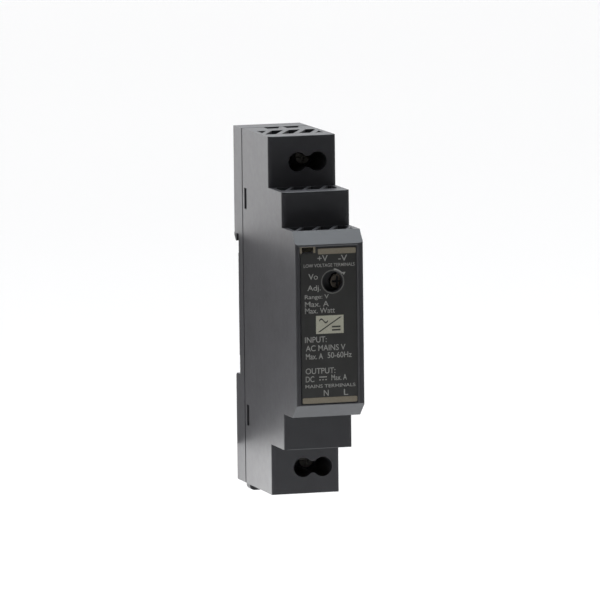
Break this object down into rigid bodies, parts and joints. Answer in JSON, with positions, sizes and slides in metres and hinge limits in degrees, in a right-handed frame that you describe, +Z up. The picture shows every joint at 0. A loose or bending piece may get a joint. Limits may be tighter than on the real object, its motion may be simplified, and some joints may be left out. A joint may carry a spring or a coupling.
{
  "type": "din rail power supply",
  "caption": "Slim stepped case that snaps onto a 35 mm DIN rail, with screw terminals at both ends, an output trimmer, a status light and a sprung rail latch.",
  "frame": {"origin": "middle of the rail seat, the flat land in the rear recess that the rail's face lies against", "axes": "+X right seen from the front, -Y out of the front panel, +Y towards the rail, +Z up towards the output terminals"},
  "size_m": [0.0176, 0.0545, 0.0927],
  "materials": {
    "housing": "charcoal moulded polycarbonate, fine spark-eroded texture, satin",
    "label": "dark printed film with pale legends, semi-gloss",
    "lens": "smoked acrylic light pipe, polished",
    "latch": "black moulded nylon, satin",
    "steel": "nickel-plated steel",
    "brass": "plated brass",
    "board": "glass-fibre board with green solder mask",
    "sheet": "thin insulating film",
    "terminal": "black moulded nylon",
    "bronze": "darkened copper alloy, satin",
    "ceramic": "blue epoxy coating",
    "thermistor": "dark green epoxy coating",
    "film": "yellow moulded case",
    "ferrite": "sintered ferrite, dull",
    "copper": "enamelled or plated copper",
    "tape": "yellow polyester tape",
    "chip": "black moulded epoxy",
    "can": "shrink sleeve over an aluminium can",
    "aluminium": "rolled sheet",
    "resistor": "lacquered film resistor",
    "led": "moulded epoxy lens",
    "fuse": "shrink sleeve over a fuse"
  },
  "bodies": {
    "case": {"front_housing": "housing", "rear_cover": "housing", "front_label": "label", "led_light_pipe": "lens", "latch_spring": "steel", "main_board": "board", "insulation_sheet": "sheet", "trimpot_body": "terminal", "output_terminal_block": "terminal", "positive_contact_bar": "copper", "negative_contact_bar": "copper", "input_terminal_block": "terminal", "neutral_contact_bar": "copper", "line_contact_bar": "copper", "mains_fuse": "fuse", "varistor": "ceramic", "inrush_thermistor": "thermistor", "x_capacitor": "film", "choke_core": "ferrite", "choke_winding_line": "copper", "choke_winding_neutral": "copper", "bridge_rectifier": "chip", "bulk_capacitor_1": "can", "bulk_capacitor_2": "can", "switching_controller": "chip", "snubber_resistor": "resistor", "transformer_core_upper": "ferrite", "transformer_core_lower": "ferrite", "transformer_bobbin": "terminal", "transformer_winding": "tape", "y_capacitor": "ceramic", "optocoupler": "chip", "output_diode": "chip", "diode_heatsink": "aluminium", "output_capacitor_1": "can", "output_capacitor_2": "can", "output_inductor_core": "ferrite", "output_inductor_winding": "copper", "feedback_reference": "chip", "status_led": "led"},
    "latch": {"rail_latch": "latch"},
    "trim_rotor": {"trimpot_rotor": "bronze"},
    "positive_screw": {"positive_screw": "steel"},
    "positive_cage": {"positive_clamp_cage": "brass"},
    "negative_screw": {"negative_screw": "steel"},
    "negative_cage": {"negative_clamp_cage": "brass"},
    "neutral_screw": {"neutral_screw": "steel"},
    "neutral_cage": {"neutral_clamp_cage": "brass"},
    "line_screw": {"line_screw": "steel"},
    "line_cage": {"line_clamp_cage": "brass"}
  },
  "joints": [
    {"name": "latch_slide", "type": "slide", "parent": "case", "child": "latch", "axis": [0, 0, -1], "range_m": [0, 0.0035], "stiffness_N_per_m": 800, "springref_m": -0.003, "deforming": ["latch_spring"]},
    {"name": "trim_turn", "type": "hinge", "parent": "case", "child": "trim_rotor", "pos_m": [0.0025, -0.049, 0.0107], "axis": [0, 1, 0], "range_deg": [-130, 130]},
    {"name": "positive_clamp_rise", "type": "slide", "parent": "case", "child": "positive_cage", "axis": [0, -1, 0], "range_m": [0, 0.0022]},
    {"name": "positive_screw_turn", "type": "hinge", "parent": "case", "child": "positive_screw", "pos_m": [-0.00104, -0.015, 0.0384], "axis": [0, 1, 0], "range_deg": [0, 1761]},
    {"name": "negative_clamp_rise", "type": "slide", "parent": "case", "child": "negative_cage", "axis": [0, -1, 0], "range_m": [0, 0.0022]},
    {"name": "negative_screw_turn", "type": "hinge", "parent": "case", "child": "negative_screw", "pos_m": [0.00404, -0.015, 0.0384], "axis": [0, 1, 0], "range_deg": [0, 1761]},
    {"name": "neutral_clamp_rise", "type": "slide", "parent": "case", "child": "neutral_cage", "axis": [0, -1, 0], "range_m": [0, 0.0022]},
    {"name": "neutral_screw_turn", "type": "hinge", "parent": "case", "child": "neutral_screw", "pos_m": [-0.00104, -0.015, -0.0384], "axis": [0, 1, 0], "range_deg": [0, 1761]},
    {"name": "line_clamp_rise", "type": "slide", "parent": "case", "child": "line_cage", "axis": [0, -1, 0], "range_m": [0, 0.0022]},
    {"name": "line_screw_turn", "type": "hinge", "parent": "case", "child": "line_screw", "pos_m": [0.00404, -0.015, -0.0384], "axis": [0, 1, 0], "range_deg": [0, 1761]}
  ],
  "couplings": [
    {"joint": "positive_screw_turn", "follows": "positive_clamp_rise", "rad_per_m": 13963},
    {"joint": "negative_screw_turn", "follows": "negative_clamp_rise", "rad_per_m": 13963},
    {"joint": "neutral_screw_turn", "follows": "neutral_clamp_rise", "rad_per_m": 13963},
    {"joint": "line_screw_turn", "follows": "line_clamp_rise", "rad_per_m": 13963}
  ]
}
